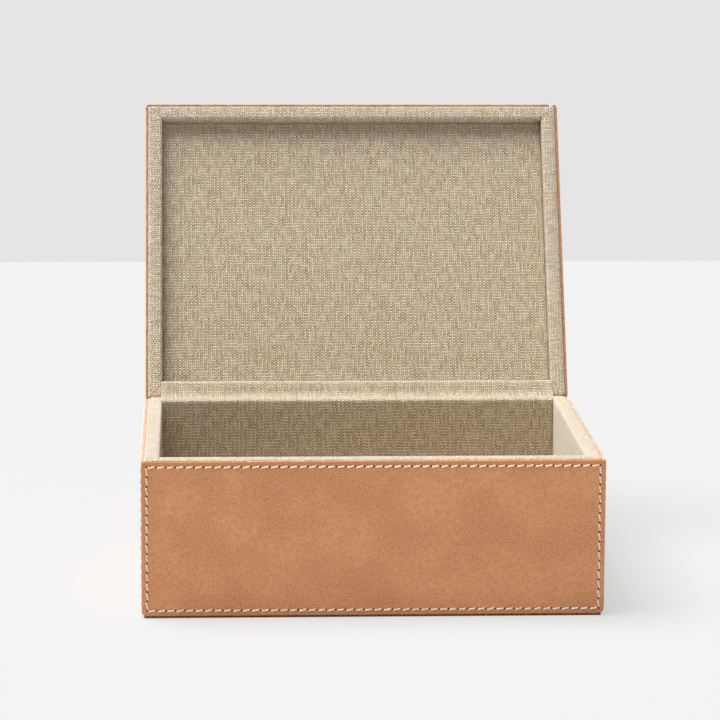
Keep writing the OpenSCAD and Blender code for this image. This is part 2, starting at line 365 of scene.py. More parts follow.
def linen_material(name, cream, tan, gap, pale_tan, pale_gap):
    """Plain weave of a cream weft and a tan warp, with every other weft thread finer.

    Where the mesh is marked, as along the rims, the weave is paler: painted light, and the linen
    hinge's paler hems.
    """
    p = Paint(name)
    u, v, place = p.flat()
    paleness = p.mark()
    # Painted light: where marked, the tan threads and the gaps turn pale
    tan = p.mix(paleness, tan, pale_tan)
    gap = p.mix(paleness, gap, pale_gap)

    # The two sets of threads, both swaying a little
    noise_u = p.noise(place, 0.12, 3.0, 0.6)
    noise_v = p.noise(p.vector(v, u, 3.0), 0.14, 3.0, 0.6)
    u = p.math("ADD", u, p.math("MULTIPLY_ADD", noise_u, 2 * SWAY_U, -SWAY_U))
    v = p.math("ADD", v, p.math("MULTIPLY_ADD", noise_v, 2 * SWAY_V, -SWAY_V))
    warp = p.math("DIVIDE", u, WARP_PITCH)
    weft = p.math("DIVIDE", v, WEFT_PITCH)
    wave_u = p.math("SINE", p.times(warp, math.pi))
    wave_v = p.math("SINE", p.times(weft, math.pi))
    over = p.times(wave_u, wave_v)
    body = p.math("ABSOLUTE", over)
    full_row = p.ramp(wave_v, -0.5, 0.5)

    # Thick and thin stretches of every thread, loose fibres, and cloudy patches
    weft_row = p.times(p.math("FLOOR", weft), ROW_SHIFT)
    warp_row = p.times(p.math("FLOOR", warp), ROW_SHIFT)
    weft_slub = p.noise(p.vector(p.times(u, SLUB_RATE), weft_row), 1.0, 3.0)
    warp_slub = p.noise(p.vector(warp_row, p.times(v, SLUB_RATE)), 1.0, 3.0)
    fibre = p.noise(p.vector(p.times(u, 0.6), p.times(v, 0.6), 9.0), 2.6, 3.0, 0.7)
    mottle = p.noise(place, 0.2, 4.0, 0.65)

    # The weft where it lies on top, the warp elsewhere, and dark gaps between the threads
    shine = p.times(p.ramp(wave_v, -0.5, 0.5, 0.5, 1.0), p.ramp(weft_slub, 0.3, 0.66, 0.45, 1.3))
    weft_colour = p.mix(shine, tan, cream)
    warp_colour = p.mix(p.ramp(warp_slub, 0.32, 0.68, 0.12, 1.0), gap, tan)
    colour = p.mix(p.ramp(over, -0.15, 0.2), warp_colour, weft_colour)
    colour = p.mix(p.ramp(body, 0.0, 0.24), gap, colour)
    colour = p.mix(p.ramp(full_row, 0.0, 1.0, 0.32, 0.0), colour, gap)
    colour = p.mix(p.ramp(fibre, 0.35, 0.7, 0.0, 0.14), colour, gap)
    colour = p.mix(p.ramp(mottle, 0.4, 0.62, 0.0, 0.13), colour, gap)

    # Relief of round threads, the finer ones lower
    height = p.times(p.math("POWER", body, 0.6), p.ramp(full_row, 0.0, 1.0, 0.6, 1.0))
    height = p.math("ADD", height, p.times(weft_slub, 0.5))
    fixed = {"sheen_weight": 0.35, "sheen_roughness": 0.45, "specular_ior_level": 0.12}
    return p.finish(colour, 0.9, p.bump(height, 0.45), **fixed)


def leather_material(name, mid, dark, light, top_tone):
    """Vegetable-tanned leather: soft clouds, fine grain and pores.

    Where the mesh is marked, as along a panel's top edge, it turns a darker, redder tone.
    """
    p = Paint(name)
    _, _, place = p.flat()
    clouds = p.noise(place, 0.035, 4.0, 0.55)
    patches = p.noise(place, 0.34, 3.0, 0.6)
    grain = p.noise(place, 1.1, 4.0, 0.7)
    colour = p.mix(p.ramp(clouds, 0.32, 0.68), dark, light)
    colour = p.mix(0.5, colour, mid)
    colour = p.mix(p.ramp(patches, 0.35, 0.7, 0.0, 0.6), colour, dark)
    colour = p.mix(p.ramp(grain, 0.38, 0.66, 0.0, 0.9), colour, light)
    # A darker, redder band where the top edge is marked
    colour = p.mix(p.times(p.mark(), 0.75), colour, top_tone)
    pores = p.node("ShaderNodeTexVoronoi", feature="DISTANCE_TO_EDGE")
    p.put(pores.inputs["Vector"], place)
    pores.inputs["Scale"].default_value = 1.35
    creases = p.ramp(pores.outputs["Distance"], 0.0, 0.16)
    height = p.math("ADD", p.times(creases, 0.5), p.times(grain, 0.9))
    normal = p.bump(height, 0.05, 0.7, p.bump(clouds, 0.9, 0.5))
    roughness = p.ramp(grain, 0.3, 0.7, 0.52, 0.66)
    fixed = {"specular_ior_level": 0.32, "coat_weight": 0.04, "coat_roughness": 0.4}
    return p.finish(colour, roughness, normal, **fixed)


def edge_material(name, pale, deep):
    """Cut edge or back of the leather: fibrous, with paler and deeper streaks."""
    p = Paint(name)
    _, _, place = p.flat()
    fibres = p.noise(place, 2.2, 4.0, 0.7)
    streaks = p.noise(place, 0.22, 2.0)
    colour = p.mix(p.ramp(streaks, 0.35, 0.65), pale, deep)
    colour = p.mix(p.ramp(fibres, 0.45, 0.7, 0.0, 0.35), colour, deep)
    return p.finish(colour, 0.75, p.bump(fibres, 0.1), specular_ior_level=0.2)


def thread_material(name, pale, deep):
    """Waxed thread with its fibres running along the ply."""
    p = Paint(name)
    u, v, _ = p.flat()
    fibres = p.noise(p.vector(p.times(u, 0.7), p.times(v, 9.0)), 2.0, 2.0)
    colour = p.mix(p.ramp(fibres, 0.3, 0.7), deep, pale)
    return p.finish(colour, 0.6, p.bump(fibres, 0.05), sheen_weight=0.1, specular_ior_level=0.3)


def board_material(name, mid, dark):
    """Grey board with short pressed fibres."""
    p = Paint(name)
    place = p.node("ShaderNodeTexCoord").outputs["Object"]
    fibres = p.noise(place, 900.0, 3.0, 0.7)
    return p.finish(p.mix(p.ramp(fibres, 0.35, 0.65), mid, dark), 0.85, p.bump(fibres, 0.08))


def hole_shade_material(name, colour, deeper):
    """Inside of an awl hole: painted shade in dark brown."""
    p = Paint(name)
    _, _, place = p.flat()
    fibres = p.noise(place, 3.0, 2.0)
    return p.finish(p.mix(fibres, colour, deeper), 0.7, p.bump(fibres, 0.1))


# Pale colours: painted light on the rims and inside the side walls, and the linen hinge's paler hems
LINEN = linen_material(
    "linen_weave", cream=srgb(255, 252, 236), tan=srgb(254, 237, 206), gap=srgb(147, 113, 69),
    pale_tan=srgb(255, 252, 243), pale_gap=srgb(220, 193, 158),
)
# Painted shade: a darker copy of the linen for the sheet under the base
SHADED_UNDER_LINEN = linen_material(
    "linen_underside_painted_shade", cream=srgb(206, 156, 112), tan=srgb(180, 130, 88), gap=srgb(112, 76, 46),
    pale_tan=srgb(190, 142, 100), pale_gap=srgb(140, 98, 62),
)
LEATHER = leather_material(
    "tan_leather", mid=srgb(213, 144, 98), dark=srgb(191, 122, 78), light=srgb(238, 171, 122),
    top_tone=srgb(213, 137, 84),
)
EDGE = edge_material("leather_edge", srgb(230, 192, 166), srgb(208, 160, 128))
DEEP_EDGE = edge_material("leather_edge_burnished", srgb(206, 154, 113), srgb(186, 128, 86))
FLESH = edge_material("leather_flesh", srgb(244, 226, 202), srgb(232, 206, 176))
THREAD = thread_material("stitching_thread", srgb(255, 250, 236), srgb(246, 232, 208))
BOARD = board_material("board", srgb(158, 132, 104), srgb(128, 104, 80))
# Painted shade inside the awl holes
HOLE_SHADE = hole_shade_material("awl_hole_painted_shade", srgb(104, 66, 40), srgb(66, 40, 24))


def side_world(side, s, depth, z):
    """A place on a side: s from left to right seen from outside, and depth in from the leather."""
    places = {
        "front": (s, -HALF_D + depth, z), "back": (-s, HALF_D - depth, z),
        "left": (-HALF_W + depth, -s, z), "right": (HALF_W - depth, s, z),
    }
    return places[side]


def side_half(side):
    """Half the length of a side."""
    return HALF_D if side in ("left", "right") else HALF_W


LEAST_R = 0.02


def corner_centre(side, end, depth):
    """How far in from the end of a side its corner's centre lies, at that depth."""
    round_corner = side == "back" or (side, end) in (("left", -1), ("right", 1))
    return max(CORNER_R if round_corner else 0.0, depth + LEAST_R)


def side_point(side, station, depth, z):
    """The place of a station: (0, share of the straight part) or (end, angle round the corner)."""
    end, value = station
    half = side_half(side)
    if end == 0:
        centre = corner_centre(side, 1 if value > 0 else -1, depth)
        return value * (half - centre), side_world(side, value * (half - centre), depth, z)
    centre = corner_centre(side, end, depth)
    radius = centre - depth
    s = end * (half - centre + radius * math.sin(value))
    return s, side_world(side, s, centre - radius * math.cos(value), z)


def wrap_stations(side):
    """Stations along a side, closer together near its mitres."""
    half = side_half(side)
    near, step, end_step = 12.0, 5.0, 0.7
    inner = round(2 * (half - near) / step)
    ends = round(near / end_step)
    shares = [1 - near / half * (1 - i / ends) for i in range(ends + 1)]
    middle = [(2 * i / inner - 1) * shares[0] for i in range(1, inner)]
    straight = [(0, share) for share in [-s for s in reversed(shares)] + middle + shares]
    turns = [math.radians(a) for a in (15, 30, 45)]
    return [(-1, a) for a in turns[::-1]] + straight + [(1, a) for a in turns]


# A wrap: its step along the cloth, the steps round an arc, how far it is drawn in near its front
# mitres, its dents and their length, and the least thickness left
WRAP_STEP = 9.0
ARC_STEPS = 5
FRONT_FOLD = 0.3
FOLD_REACH = 0.7
WRAP_DENT = 0.06
DENT_ALONG = 8
DENT_ACROSS = 6
LEAST_T = 0.1

# How far past the linen hinge's ends the back wrap comes up again
GIVE_FROM = 0.2
GIVE_TO = 0.7

# How far apart the walls lie on the flat linen, and the panels on the flat leather
LINEN_SHIFT = (61.3, 17.9)
LEATHER_SHIFT = (83.7, 29.3)


def is_front(side, s):
    """Whether a place on a side is nearer to a front corner than to a back one."""
    return side == "front" or (side == "left" and s > 0) or (side == "right" and s < 0)


def linen_wrap(part, side, track, sunk, painted_rim_light, painted_inside_light):
    """Linen turned over the rim of one wall: a shell along the track, mitred at both ends.

    sunk is how far it gives way under the linen hinge. The last two set how pale painted light makes
    it.
    """
    is_lid = part == "lid"
    shape = Shape()
    seed = SIDES.index(side) + (5 if is_lid else 0)
    middle = track.length / 2
    half = side_half(side)
    rim_start, rim_end = track.parts[1][0], track.parts[4][0]
    stops = track.stops(WRAP_STEP, ARC_STEPS)
    rings = []
    for station in wrap_stations(side):
        outer, inner = [], []
        for v in stops:
            depth, _ = track.at(v)
            s, _ = side_point(side, station, depth, 0)
            mitre = half - abs(s) - depth if station[0] == 0 else 0.0
            give = sunk * (1 - smooth_step(HINGE_HALF + GIVE_FROM, HINGE_HALF + GIVE_TO, abs(s)))
            fold = FRONT_FOLD if is_front(side, s) else 0.0
            dent = give + fold * math.exp(-mitre / FOLD_REACH)
            dent += WRAP_DENT * ripple(s / DENT_ALONG, v / DENT_ACROSS, seed)
            past_rim = smooth_step(rim_end - 2.0, rim_end, v)
            # Painted light: the weave turns paler on the rim and inside the wall
            paleness = (painted_rim_light + (painted_inside_light - painted_rim_light) * past_rim) * smooth_step(0, 1, v - rim_start)
            for row, sink in ((outer, min(dent, LINEN_T - LEAST_T)), (inner, LINEN_T)):
                depth, height = track.at(v, sink)
                z = LID_LINEN_TOP - height if is_lid else height
                s, where = side_point(side, station, depth, z)
                flat = (s + LINEN_SHIFT[0] * seed, v - middle + LINEN_SHIFT[1] * seed)
                row.append(shape.point(where, flat, paleness))
        rings.append(outer + inner[::-1])
    shape.shell(rings)
    return shape


# A plate's mesh: the step between marks, their room from bends and corners, the steps round a
# corner, the loops near its rim and their room, and the ease of its back
PLATE_STEP = 7.0
BEND_ROOM = 0.8
CORNER_ROOM = 0.01
CORNER_STEPS = 5
RIM_LOOPS = (1.6, 4.4)
LOOP_ROOM = 1.5
BACK_EASE = 0.12

# Waves of a plate's rim: their length and how far in they reach
WAVE_LONG = 9
WAVE_REACH = 3

# An awl hole: its corners, its mouth's size over its own, the depth of the mouth's edge, and the
# rings below as (share of the radius, depth, slot)
HOLE_SIDES = 8
MOUTH = 1.35
MOUTH_DIP = 0.1
HOLE_RINGS = ((1.0, 0.22, 0), (0.85, 0.9, 2))


def even_marks(low, high, bends):
    """Marks at even steps between two edges, with the bends and some room left round those."""
    count = max(1, round((high - low) / PLATE_STEP))
    even = [low + (high - low) * i / count for i in range(1, count)]
    return sorted([m for m in even if all(abs(m - b) > BEND_ROOM for b in bends)] + list(bends))


def marks_between(marks, start, end, start_r, end_r):
    """The marks on the straight from one round corner to the next, in that order."""
    low, high = (start + start_r, end - end_r) if start < end else (end + end_r, start - start_r)
    found = [m for m in marks if low + CORNER_ROOM < m < high - CORNER_ROOM]
    return found if start < end else found[::-1]


def rounded_rectangle(size, radii, inset, marks_s, marks_t):
    """Points round a rectangle with round corners, anticlockwise, at an inset less than the radii."""
    s0, t0, s1, t1 = size
    corners = ((s0, t0, 180), (s1, t0, 270), (s1, t1, 0), (s0, t1, 90))
    loop = []
    for i, (s, t, start) in enumerate(corners):
        radius = radii[i]
        centre_s = s + (radius if s == s0 else -radius)
        centre_t = t + (radius if t == t0 else -radius)
        for k in range(CORNER_STEPS + 1):
            angle = math.radians(start + 90 * k / CORNER_STEPS)
            reach = radius - inset
            loop.append((centre_s + reach * math.cos(angle), centre_t + reach * math.sin(angle)))
        next_s, next_t, _ = corners[(i + 1) % 4]
        next_r = radii[(i + 1) % 4]
        if t == next_t:
            fixed = t + (inset if t == t0 else -inset)
            loop += [(m, fixed) for m in marks_between(marks_s, s, next_s, radius, next_r)]
        else:
            fixed = s + (inset if s == s0 else -inset)
            loop += [(fixed, m) for m in marks_between(marks_t, t, next_t, radius, next_r)]
    return loop


def circle(centre, radius, count):
    """Corners of a regular polygon round a place."""
    turns = [2 * math.pi * (i + 0.5) / count for i in range(count)]
    return [(centre[0] + radius * math.cos(a), centre[1] + radius * math.sin(a)) for a in turns]


def fill(loops, holes, lines):
    """Triangles inside the first loop. The holes stay open, other loops and the lines are edges.

    Returns points, triangles and each point's own (loop, place in it), or None.
    """
    points, edges, owner = [], [], []
    for number, loop in enumerate(loops + holes):
        first = len(points)
        points += [Vector(p) for p in loop]
        owner += [(number, i) for i in range(len(loop))]
        edges += [(first + i, first + (i + 1) % len(loop)) for i in range(len(loop))]
    for a, b in lines:
        edges.append((len(points), len(points) + 1))
        points += [Vector(a), Vector(b)]
        owner += [None, None]
    out, _, faces, sources, _, _ = delaunay_2d_cdt(points, edges, [], 0, 1e-5)
    owners = []
    for source in sources:
        named = [owner[i] for i in source if owner[i] is not None]
        owners.append(named[0] if named else None)
    first_hole = len(loops)
    kept = []
    for face in faces:
        numbers = {owners[v][0] if owners[v] else None for v in face}
        inside_hole = len(numbers) == 1 and None not in numbers and min(numbers) >= first_hole
        if not inside_hole:
            kept.append(face)
    return out, kept, owners


def plate(
    place, size, radii, holes=(), thickness=LEATHER_T, edge_r=EDGE_R, bends_s=(), bends_t=(),
    wobble=0.0, seed=0, top_tone=1.0,
):
    """A plate with eased edges, drawn flat and put in its place by place(s, t, depth).

    Slot 0 is its face, slot 1 its cut edge and back, slot 2 the insides of its stitch holes.
    Its top edge is marked darker and redder, as strongly as the last argument says.
    """
    shape = Shape()
    s0, t0, s1, t1 = size
    marks_s = even_marks(s0, s1, bends_s)
    marks_t = even_marks(t0, t1, bends_t)
    thick = thickness if callable(thickness) else (lambda s, t: thickness)

    def put(s, t, depth):
        gap = min(s - s0, s1 - s, t - t0, t1 - t)
        pull = wobble * max(0.0, 1 - gap / WAVE_REACH)
        here_s = s + pull * ripple(s / WAVE_LONG, t / WAVE_LONG, seed)
        here_t = t + pull * ripple(s / WAVE_LONG, t / WAVE_LONG, seed + 50)
        flat = (s + LEATHER_SHIFT[0] * seed, t + LEATHER_SHIFT[1] * seed)
        # The mark darkens and reddens the top edge
        mark = top_tone * (1 - smooth_step(*RIM_LOOPS, t1 - t))
        return shape.point(place(here_s, here_t, depth), flat, mark)

    # Rings round the rim, from the face over the eased edge to the back
    curve = [math.radians(a) for a in (90, 60, 30, 0)]
    profile = [(edge_r * (1 - math.cos(a)), edge_r * (1 - math.sin(a))) for a in curve]
    flats = [rounded_rectangle(size, radii, inset, marks_s, marks_t) for inset, _ in profile]
    rings = [[put(s, t, depth) for s, t in flat] for flat, (_, depth) in zip(flats, profile)]
    for inset, rise in ((0.0, BACK_EASE), (BACK_EASE, 0.0)):
        flats.append(rounded_rectangle(size, radii, inset, marks_s, marks_t))
        rings.append([put(s, t, thick(s, t) - rise) for s, t in flats[-1]])
    for number, (ring_a, ring_b) in enumerate(zip(rings, rings[1:])):
        shape.bridge(ring_b, ring_a, 0 if number < 2 else 1)

    def lines_at(inset):
        rows = [((m, t0 + inset), (m, t1 - inset)) for m in bends_s]
        return rows + [((s0 + inset, m), (s1 - inset, m)) for m in bends_t]

    # The face, with its stitch holes
    inner = []
    for inset in RIM_LOOPS:
        if min(s1 - s0, t1 - t0) > 2 * inset + LOOP_ROOM:
            left, low, right, high = s0 + inset, t0 + inset, s1 - inset, t1 - inset
            inner.append([(left, low), (right, low), (right, high), (left, high)])
    hole_loops = [circle(h, MOUTH * HOLE_R, HOLE_SIDES) for h in holes]
    out, faces, owners = fill([flats[0]] + inner, hole_loops, lines_at(profile[0][0]))
    numbers = []
    hole_rims = [[None] * HOLE_SIDES for _ in holes]
    for where, owner in zip(out, owners):
        if owner and owner[0] == 0:
            numbers.append(rings[0][owner[1]])
            continue
        in_hole = owner and owner[0] > len(inner)
        numbers.append(put(where.x, where.y, MOUTH_DIP if in_hole else 0.0))
        if in_hole:
            hole_rims[owner[0] - 1 - len(inner)][owner[1]] = numbers[-1]
    for face in faces:
        shape.face(tuple(numbers[v] for v in face), 0)
    for hole, lower in zip(holes, hole_rims):
        for share, depth, slot in HOLE_RINGS:
            ring = [put(s, t, depth) for s, t in circle(hole, share * HOLE_R, HOLE_SIDES)]
            shape.bridge(lower, ring, slot)
            lower = ring
        shape.face(tuple(lower), 2)

    # The back
    out, faces, owners = fill([flats[-1]], [], lines_at(BACK_EASE))
    numbers = []
    for where, owner in zip(out, owners):
        if owner:
            numbers.append(rings[-1][owner[1]])
        else:
            numbers.append(put(where.x, where.y, thick(where.x, where.y)))
    for face in faces:
        shape.face(tuple(numbers[v] for v in reversed(face)), 1)
    return shape


def stitch_holes(s0, t0, s1, t1):
    """Holes round a rectangle, with one in each corner. A list of rows, each in stitching order."""
    across = max(1, round((s1 - s0) / STITCH_PITCH))
    up = max(1, round((t1 - t0) / STITCH_PITCH))
    low = [(s0 + (s1 - s0) * i / across, t0) for i in range(across + 1)]
    high = [(s, t1) for s, _ in low]
    left = [(s0, t0 + (t1 - t0) * i / up) for i in range(up + 1)]
    right = [(s1, t) for _, t in left]
    return [low, high, left[::-1], right[::-1]]


def unique_holes(rows):
    """Every hole of the rows once, although rows share their corners."""
    found = []
    for row in rows:
        for hole in row:
            if all(abs(hole[0] - h[0]) + abs(hole[1] - h[1]) > 0.1 for h in found):
                found.append(hole)
    return found


# A stitch: the radius of its two plies, how far off the middle they twist, the share of its
# length left free at each end, and how far it rises and sinks
PLY_R = 0.31
PLY_OFF = 0.23
PLY_SIDES = 6
TWISTS = 1.5
STITCH_RINGS = 11
STITCH_ROOM = 0.1
STITCH_LIFT = 0.28
STITCH_SINK = 0.7


def ply_middle(x, lean, lift, angle):
    """How far a ply's middle lies across the row and above the leather, at a share x of its stitch."""
    swing = 2 * x - 1
    side = lean * swing * (1 - 0.6 * abs(swing) ** 7)
    height = -STITCH_SINK + (STITCH_SINK + lift) * (1 - abs(swing) ** 6)
    return side + PLY_OFF * math.cos(angle), height + PLY_OFF * math.sin(angle)


def stitching(place, rows, seed):
    """Two-ply stitches from hole to hole, each leaning across the row."""
    shape = Shape()
    dice = random.Random(seed)
    for (sa, ta), (sb, tb) in [pair for row in rows for pair in zip(row, row[1:])]:
        length = math.hypot(sb - sa, tb - ta)
        along = ((sb - sa) / length, (tb - ta) / length)
        across = (-along[1], along[0])
        lean = STITCH_LEAN * dice.uniform(0.75, 1.25)
        lift = STITCH_LIFT * dice.uniform(0.8, 1.2)
        phase = dice.uniform(0, math.pi)
        for ply in (0, 1):
            rings = []
            for i in range(STITCH_RINGS):
                x = (1 - math.cos(math.pi * i / (STITCH_RINGS - 1))) / 2
                angle = phase + math.pi * ply + 2 * math.pi * TWISTS * x
                side, height = ply_middle(x, lean, lift, angle)
                reach = length * (STITCH_ROOM + (1 - 2 * STITCH_ROOM) * x)
                ring = []
                for k in range(PLY_SIDES):
                    turn = 2 * math.pi * k / PLY_SIDES
                    out = side + PLY_R * math.cos(turn)
                    up = height + PLY_R * math.sin(turn)
                    s = sa + along[0] * reach + across[0] * out
                    t = ta + along[1] * reach + across[1] * out
                    ring.append(shape.point(place(s, t, -up), (reach, k / PLY_SIDES)))
                rings.append(ring)
            shape.tube(rings)
    return shape


def in_plan(track, low):
    """Places a plate that follows a track round the box. Its t is a height above low."""

    def place(s, t, depth):
        p, q = track.at(s, depth)
        return (p, -q, low + t)

    return place


def piece(shape, name, materials, body, nodes=(), flip=False):
    """Builds a piece and says its body and the CAD nodes that it replaces."""
    made = shape.build(name, materials, TURN if body == "lid" else None, flip)
    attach(made, body)
    if nodes:
        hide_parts(*nodes)
    return made


def wrap_track(start_z, outside, inside):
    """The line of a wrap: up the outside of its wall, over the rim's two round edges, and down."""
    rim = OPEN_INSET - LEATHER_T - 2 * RIM_R
    moves = [outside - RIM_R, (RIM_R, -90), rim, (RIM_R, -90), inside - RIM_R]
    return Track((LEATHER_T, start_z), 90, moves)


# Linen over the walls of the base and the rails of the lid, how much painted light pales it on the
# rims and inside the walls, and the room that the back wraps leave for the linen hinge
INSIDE_PAINTED_LIGHT = {"front": 0.0, "back": 0.0, "left": 0.9, "right": 0.9}
RIM_PAINTED_LIGHT = {"front": 0.5, "back": 0.4, "left": 0.6, "right": 0.6}
LID_RIM_PAINTED_LIGHT = 0.25
WRAP_SUNK = HINGE_T + 0.02
base_wrap = wrap_track(COVER_T, BASE_TOP - COVER_T, BASE_TOP - FLOOR_LOW)
lid_wrap = wrap_track(0, LID_LINEN_TOP - LID_RIM, CEILING_TOP - LID_RIM)
for side in SIDES:
    sunk = WRAP_SUNK if side == "back" else 0.0
    for part, track, rim_light_share, inside_light_share in (
        ("base", base_wrap, RIM_PAINTED_LIGHT[side], INSIDE_PAINTED_LIGHT[side]),
        ("lid", lid_wrap, LID_RIM_PAINTED_LIGHT, 0.0),
    ):
        is_base = part == "base"
        shape = linen_wrap(part, side, track, sunk, rim_light_share, inside_light_share)
        nodes = [f"{part}_{side}_linen"]
        made = piece(shape, f"{part}_{side}_wrap", [LINEN], part, nodes, flip=is_base)

CARD_R = 0.6
CARD_EDGE = 0.25
CARD_GROWS = 0.2


def card(name, node, part, linen, size, face_z, back_z, back_r=CARD_R):
    """A linen-covered card with its face at one height and its back at another."""
    way = 1 if face_z > back_z else -1
    shape = plate(
        lambda s, t, depth: (s, way * t, face_z - way * depth), size,
        [back_r, back_r, CARD_R, CARD_R], thickness=abs(face_z - back_z), edge_r=CARD_EDGE,
        top_tone=0,
    )
    piece(shape, name, [linen, linen, HOLE_SHADE], part, [node])


# Cards: the floor, the lid's ceiling and the sheet under the base
card_w = FLOOR_HALF_W + CARD_GROWS
card_d = FLOOR_HALF_D + CARD_GROWS
card_size = (-card_w, -card_d, card_w, card_d)
cover_size = (-HALF_W + LEATHER_T, -HALF_D + LEATHER_T, HALF_W - LEATHER_T, HALF_D - LEATHER_T)
card("floor_card", "base_floor_lining", "base", LINEN, card_size, FLOOR_TOP, FLOOR_LOW)
card("ceiling_card", "lid_lining", "lid", LINEN, card_size, CEILING, CEILING_TOP)
# The sheet under the base takes the linen in painted shade
card(
    "underside_card", "base_underside_cover", "base", SHADED_UNDER_LINEN, cover_size, face_z=0.0,
    back_z=COVER_T, back_r=CORNER_R - LEATHER_T,
)


def leather(name, node, body, place, size, radii, skins, seed, rows=(), **mesh):
    """A leather piece of the base or the lid, with its own thread if it has rows of holes."""
    shape = plate(place, size, radii, unique_holes(rows), seed=seed, **mesh)
    piece(shape, name, skins, body, [node])
    if rows:
        thread = stitching(place, rows, seed + 10)
        piece(thread, name.replace("panel", "stitching"), [THREAD], body)


# Leather panels of the base
LEATHERS = [LEATHER, EDGE, HOLE_SHADE]
BURNISHED = [LEATHER, DEEP_EDGE, HOLE_SHADE]
PANEL_H = PANEL_TOP - COVER_T
SHARP_R = 0.6
WRAP_END = HALF_W - CORNER_R - SEAM_X

# The side panels turn the back corners up to the seam. Their holes stop short of that turn.
TURN_ROOM = 2.5
straight = 2 * HALF_D - LEATHER_T - CORNER_R
front_track = Track((-HALF_W, HALF_D), 0, [2 * HALF_W])
right_track = Track((HALF_W, HALF_D - LEATHER_T), -90, [straight, (CORNER_R, -90), WRAP_END])
left_track = Track((-SEAM_X, -HALF_D), 180, [WRAP_END, (CORNER_R, -90), straight])
left_length = left_track.length
left_start = left_length - straight + TURN_ROOM
panels = {
    "front": (front_track, (FOOT_R, FOOT_R), STITCH_INSET, 2 * HALF_W - STITCH_INSET),
    "right": (right_track, (FOOT_R, SHARP_R), STITCH_INSET, straight - TURN_ROOM),
    "left": (left_track, (SHARP_R, FOOT_R), left_start, left_length - STITCH_INSET),
}
for side, (track, low_radii, hole_start, hole_end) in panels.items():
    leather(
        f"{side}_panel", f"base_{side}_leather", "base", in_plan(track, COVER_T),
        (0, 0, track.length, PANEL_H), [*low_radii, SHARP_R, SHARP_R],
        BURNISHED if side == "front" else LEATHERS, seed=1 + SIDES.index(side),
        rows=stitch_holes(hole_start, STITCH_INSET, hole_end, PANEL_H - STITCH_INSET),
        bends_s=track.bends(6), wobble=0.1,
    )

# One piece of leather runs up the back, folds at the hinge and goes on over the back of the lid.
# It is pared thin near the fold. The bend runs between two points that lie that far in from the
# pivot, on the base and on the lid.
FOLD_T = 0.7
PARED = (0.3, 2.2)
NEAR_FOLD = (0.3, 0.8, 1.6)
CREASE_R = 0.02
base_run = PIVOT.z - COVER_T
lid_run = STRIP_TOP - PIVOT.z
spine_track = Track((-HALF_D, COVER_T), 90, [base_run, (CREASE_R, math.degrees(OPEN)), lid_run])


def spine_place(s, t, depth):
    a, z = spine_track.at(t, depth)
    return (-s, -a, z)


def spine_thickness(s, t):
    return FOLD_T + (LEATHER_T - FOLD_T) * smooth_step(*PARED, abs(t - base_run))


rows = stitch_holes(
    -SEAM_X + STITCH_INSET, STITCH_INSET, SEAM_X - STITCH_INSET, base_run - 2 * STITCH_INSET
)
folds = spine_track.bends(6)
near_fold = [m for away in NEAR_FOLD for m in (base_run - away, folds[-1] + away)]
shape = plate(
    spine_place, (-SEAM_X, 0, SEAM_X, spine_track.length), [SHARP_R] * 4, unique_holes(rows),
    spine_thickness, bends_t=sorted(folds + near_fold), wobble=0.05, seed=6,
)
spine = shape.build("spine", [LEATHER, FLESH, HOLE_SHADE])
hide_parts("base_back_leather", "leather_hinge", "lid_back_leather")
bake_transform(spine)
piece(stitching(spine_place, rows, seed=16), "back_stitching", [THREAD], "base")

# Leather of the lid: its top and the strips round it
top_rows = stitch_holes(
    -HALF_W + STITCH_INSET, -HALF_D + STITCH_INSET, HALF_W - STITCH_INSET, HALF_D - STITCH_INSET
)
leather(
    "lid_top_panel", "lid_top_leather", "lid", lambda s, t, depth: (s, t, LID_TOP - depth),
    (-HALF_W, -HALF_D, HALF_W, HALF_D), [LID_FRONT_R, LID_FRONT_R, CORNER_R, CORNER_R],
    BURNISHED, seed=7, rows=top_rows, wobble=0.08,
)

# The right strip turns the front corner for a short run, where the front strip stops
STRIP_H = STRIP_TOP - STRIP_LOW
TURN_RUN = 2.4
FRONT_MARKS = [0.85, 1.15, 1.5, 1.9]
lid_straight = 2 * HALF_D - LID_FRONT_R - CORNER_R
lid_tracks = {
    "front": Track((-HALF_W, HALF_D), 0, [HALF_W + LID_STRIP_END]),
    "right": Track(
        (HALF_W - TURN_RUN, HALF_D), 0,
        [TURN_RUN - LID_FRONT_R, (LID_FRONT_R, -90), lid_straight, (CORNER_R, -90), WRAP_END],
    ),
    "left": Track(
        (-SEAM_X, -HALF_D), 180, [WRAP_END, (CORNER_R, -90), HALF_D - CORNER_R - LID_LEFT_START]
    ),
}


def strip_place(side):
    """Places a strip of the lid. The front one draws back along its round left corner."""
    along_side = in_plan(lid_tracks[side], STRIP_LOW)

    def place(s, t, depth):
        x, y, z = along_side(s, t, depth)
        if side != "front":
            return (x, y, z)
        if s < LID_FRONT_R:
            off = LID_FRONT_R - max(0.0, s)
            y += LID_FRONT_R - math.sqrt(max(0.0, LID_FRONT_R**2 - off**2))
        return (x, min(y, -HALF_D + 2 * LEATHER_T), z)

    return place


for side, track in lid_tracks.items():
    leather(
        f"lid_{side}_strip", f"lid_{side}_leather", "lid", strip_place(side),
        (0, 0, track.length, STRIP_H), [SHARP_R] * 4, BURNISHED, seed=8 + SIDES.index(side),
        bends_s=sorted(track.bends(5) + (FRONT_MARKS if side == "front" else [])), wobble=0.16,
    )

